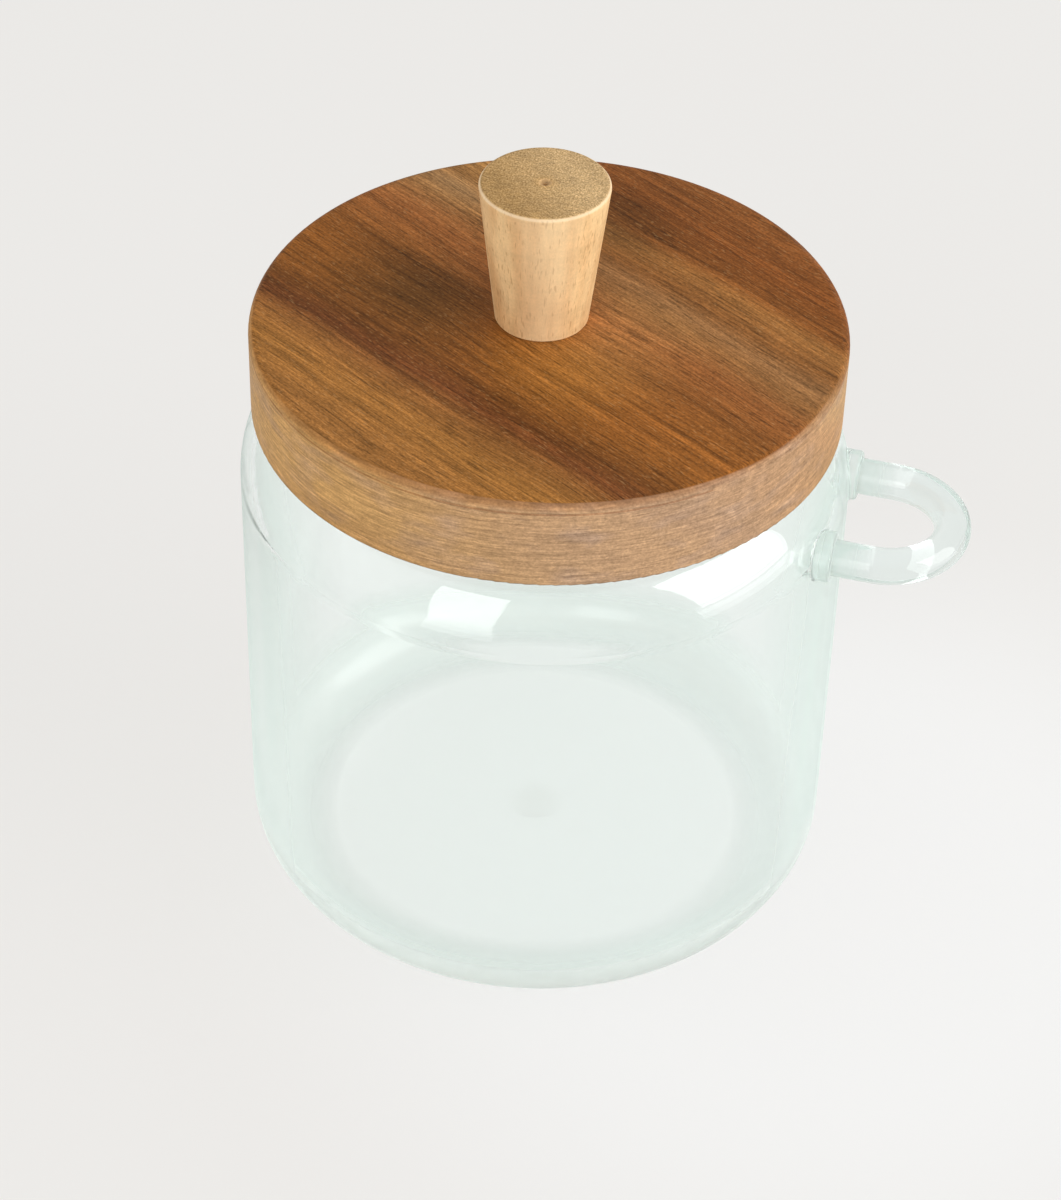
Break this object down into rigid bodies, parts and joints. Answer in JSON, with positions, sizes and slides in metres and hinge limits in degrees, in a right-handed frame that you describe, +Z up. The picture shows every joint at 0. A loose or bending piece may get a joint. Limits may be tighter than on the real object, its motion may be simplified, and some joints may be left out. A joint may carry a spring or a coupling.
{
  "type": "lidded storage jar",
  "caption": "Clear glass storage jar with a turned wooden lid, a tapered wooden knob and a level glass loop for a spoon.",
  "frame": {"origin": "middle of the jar's flat bottom, on the axis of the glass", "axes": "+Z up along the jar's axis towards the knob, +X out through the spoon loop, +Y across the loop"},
  "size_m": [0.1273, 0.1054, 0.1395],
  "materials": {
    "clear_glass": "fire-polished, clear with a faint green tint",
    "lid_wood": "oiled reddish-brown acacia, sanded",
    "knob_wood": "bare pale beech, turned"
  },
  "bodies": {
    "root": {"glass_jar": "clear_glass", "lid": "lid_wood", "knob": "knob_wood"}
  },
  "joints": []
}
